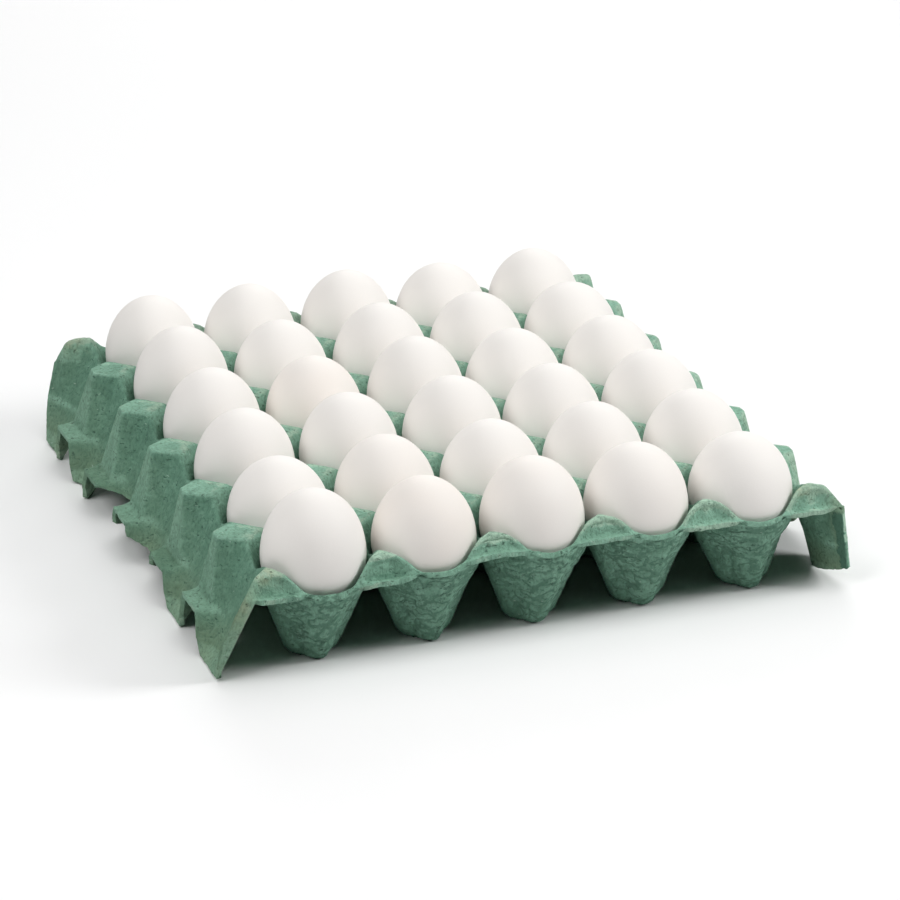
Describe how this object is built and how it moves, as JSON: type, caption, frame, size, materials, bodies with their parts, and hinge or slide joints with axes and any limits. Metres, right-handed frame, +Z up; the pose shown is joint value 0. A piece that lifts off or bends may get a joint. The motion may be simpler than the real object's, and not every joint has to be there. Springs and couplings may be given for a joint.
{
  "type": "egg tray with eggs",
  "caption": "Open moulded-pulp tray with a grid of cups, flat-topped posts between them and a skirt on two sides, with a hen's egg standing in every cup.",
  "frame": {"origin": "on the ground under the middle of the tray", "axes": "+X along a row of five cups, towards the side whose front foot is torn; +Y along a column of six cups, from the front edge to the back edge; +Z up"},
  "size_m": [0.3024, 0.2894, 0.076],
  "materials": {
    "moulded_pulp": "matte, fibrous, blue-green pulp",
    "eggshell": "matte white shell"
  },
  "bodies": {
    "root": {"tray": "moulded_pulp", "egg_1_1": "eggshell", "egg_1_2": "eggshell", "egg_1_3": "eggshell", "egg_1_4": "eggshell", "egg_1_5": "eggshell", "egg_1_6": "eggshell", "egg_2_1": "eggshell", "egg_2_2": "eggshell", "egg_2_3": "eggshell", "egg_2_4": "eggshell", "egg_2_5": "eggshell", "egg_2_6": "eggshell", "egg_3_1": "eggshell", "egg_3_2": "eggshell", "egg_3_3": "eggshell", "egg_3_4": "eggshell", "egg_3_5": "eggshell", "egg_3_6": "eggshell", "egg_4_1": "eggshell", "egg_4_2": "eggshell", "egg_4_3": "eggshell", "egg_4_4": "eggshell", "egg_4_5": "eggshell", "egg_4_6": "eggshell", "egg_5_1": "eggshell", "egg_5_2": "eggshell", "egg_5_3": "eggshell", "egg_5_4": "eggshell", "egg_5_5": "eggshell", "egg_5_6": "eggshell"}
  },
  "joints": []
}
